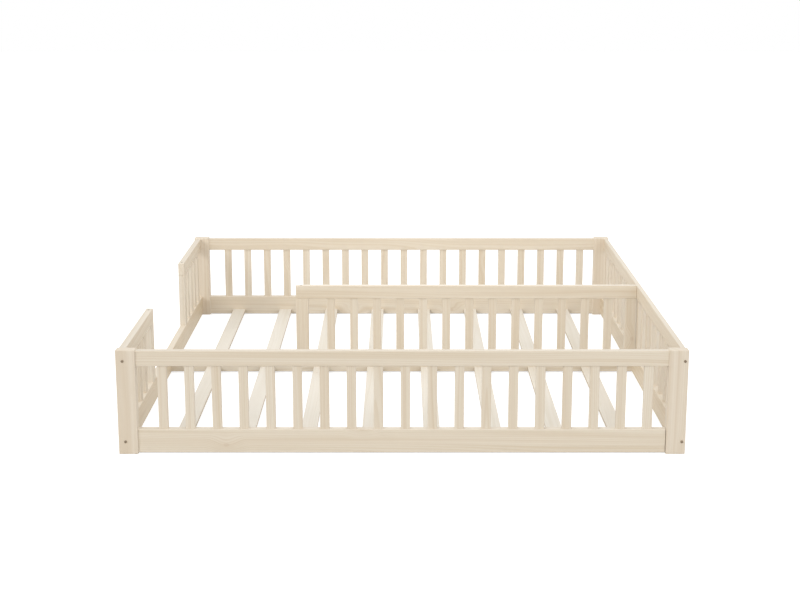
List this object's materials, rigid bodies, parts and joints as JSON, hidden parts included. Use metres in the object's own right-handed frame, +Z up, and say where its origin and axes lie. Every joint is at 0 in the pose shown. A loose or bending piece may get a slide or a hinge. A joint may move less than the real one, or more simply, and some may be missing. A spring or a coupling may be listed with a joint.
{
  "type": "floor bed",
  "caption": "Low slatted wooden floor bed with a baluster fence all round, an open entrance in one side and a shorter fence between its mattress bays.",
  "frame": {"origin": "on the floor, at the middle of the bed", "axes": "+X from the entrance side to the full side fence, +Y from the front fence to the back fence (the long way), +Z up"},
  "size_m": [1.99, 2.115, 0.378],
  "materials": {
    "pine_post": "clear matt lacquer, fine straight grain",
    "pine_rail": "clear matt lacquer, fine grain along the rail",
    "pine_upright": "clear matt lacquer, fine grain along the upright",
    "pine_slat": "planed, hardly any lacquer, fine grain along the slat",
    "beech_dowel": "plain turned",
    "dark_steel": "dark bronzed, satin",
    "zinc_steel": "zinc plated"
  },
  "bodies": {
    "root": {"post_front_left": "pine_post", "post_front_right": "pine_post", "post_back_left": "pine_post", "post_back_right": "pine_post", "front_top_rail": "pine_rail", "front_bottom_rail": "pine_rail", "back_top_rail": "pine_rail", "back_bottom_rail": "pine_rail", "right_top_rail": "pine_rail", "right_bottom_rail": "pine_rail", "left_bottom_rail": "pine_rail", "left_front_top_rail": "pine_rail", "left_back_top_rail": "pine_rail", "centre_rail": "pine_rail", "divider_top_rail": "pine_rail", "left_front_stile": "pine_upright", "left_back_stile": "pine_upright", "divider_left_stile": "pine_upright", "divider_right_stile": "pine_upright", "front_balusters": "pine_upright", "back_balusters": "pine_upright", "right_balusters": "pine_upright", "left_front_balusters": "pine_upright", "left_back_balusters": "pine_upright", "divider_balusters": "pine_upright", "slat_front_1": "pine_slat", "slat_front_2": "pine_slat", "slat_front_3": "pine_slat", "slat_front_4": "pine_slat", "slat_front_5": "pine_slat", "slat_front_6": "pine_slat", "slat_front_7": "pine_slat", "slat_front_8": "pine_slat", "slat_back_1": "pine_slat", "slat_back_2": "pine_slat", "slat_back_3": "pine_slat", "slat_back_4": "pine_slat", "slat_back_5": "pine_slat", "slat_back_6": "pine_slat", "slat_back_7": "pine_slat", "slat_back_8": "pine_slat", "dowels": "beech_dowel", "cap_screws": "dark_steel", "corner_bolts": "dark_steel", "cross_bolts": "dark_steel", "barrel_nuts": "zinc_steel"}
  },
  "joints": []
}
